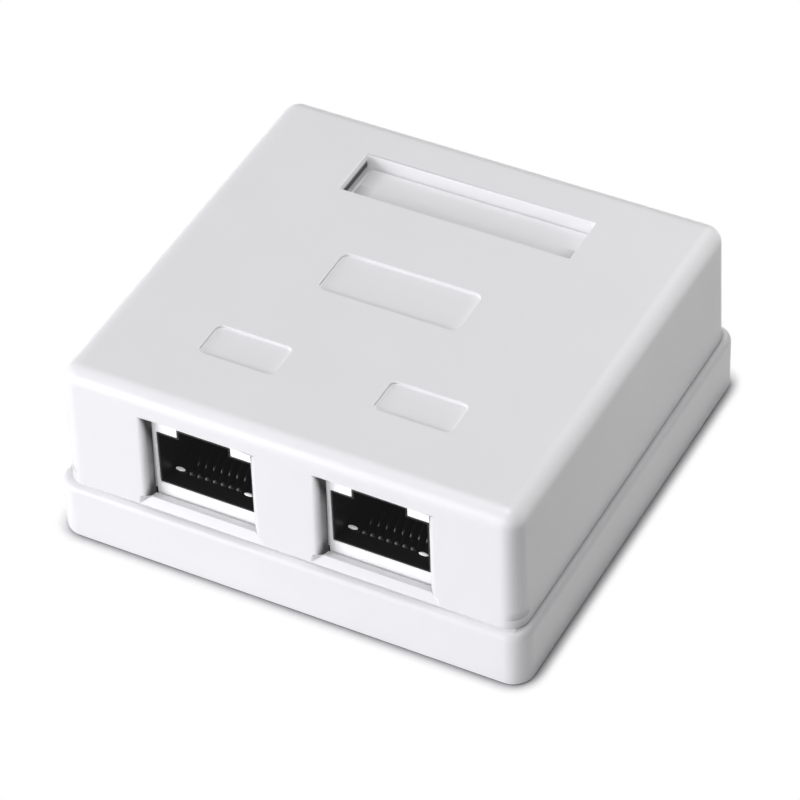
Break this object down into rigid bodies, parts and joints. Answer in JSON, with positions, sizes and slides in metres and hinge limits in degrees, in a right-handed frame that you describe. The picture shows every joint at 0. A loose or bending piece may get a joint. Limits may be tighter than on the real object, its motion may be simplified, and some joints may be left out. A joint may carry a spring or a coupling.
{
  "type": "surface mount jack box",
  "caption": "Low white wall box with eight-way modular sockets in its front, a lift-off cover with a label recess, and punch-down blocks on a board inside.",
  "frame": {"origin": "middle of the underside that rests on the wall or table", "axes": "+X to the right seen from the sockets, +Y from the sockets to the back, +Z from the underside out of the cover"},
  "size_m": [0.06, 0.0578, 0.0243],
  "materials": {
    "white_moulding": "satin",
    "white_insert": "satin",
    "black_moulding": "satin",
    "board_green": "satin",
    "gold_contact": "polished",
    "blade_metal": "tin plated",
    "screw_steel": "zinc plated"
  },
  "bodies": {
    "base": {"base_tray": "white_moulding", "circuit_board": "board_green", "board_screws": "screw_steel", "jack_housing_left": "black_moulding", "jack_face_left": "white_insert", "contact_carrier_left": "black_moulding", "contact_wires_left": "gold_contact", "terminal_block_left_front": "white_insert", "terminal_blades_left_front": "blade_metal", "terminal_block_left_rear": "white_insert", "terminal_blades_left_rear": "blade_metal", "jack_housing_right": "black_moulding", "jack_face_right": "white_insert", "contact_carrier_right": "black_moulding", "contact_wires_right": "gold_contact", "terminal_block_right_front": "white_insert", "terminal_blades_right_front": "blade_metal", "terminal_block_right_rear": "white_insert", "terminal_blades_right_rear": "blade_metal"},
    "cover": {"cover_shell": "white_moulding", "cover_screw": "screw_steel"},
    "label_plate": {"label_plate": "white_insert"}
  },
  "joints": [
    {"name": "cover_lift", "type": "slide", "parent": "base", "child": "cover", "axis": [0, 0, 1], "range_m": [0, 0.04]},
    {"name": "label_plate_lift", "type": "slide", "parent": "cover", "child": "label_plate", "axis": [0, 0, 1], "range_m": [0, 0.01]}
  ]
}
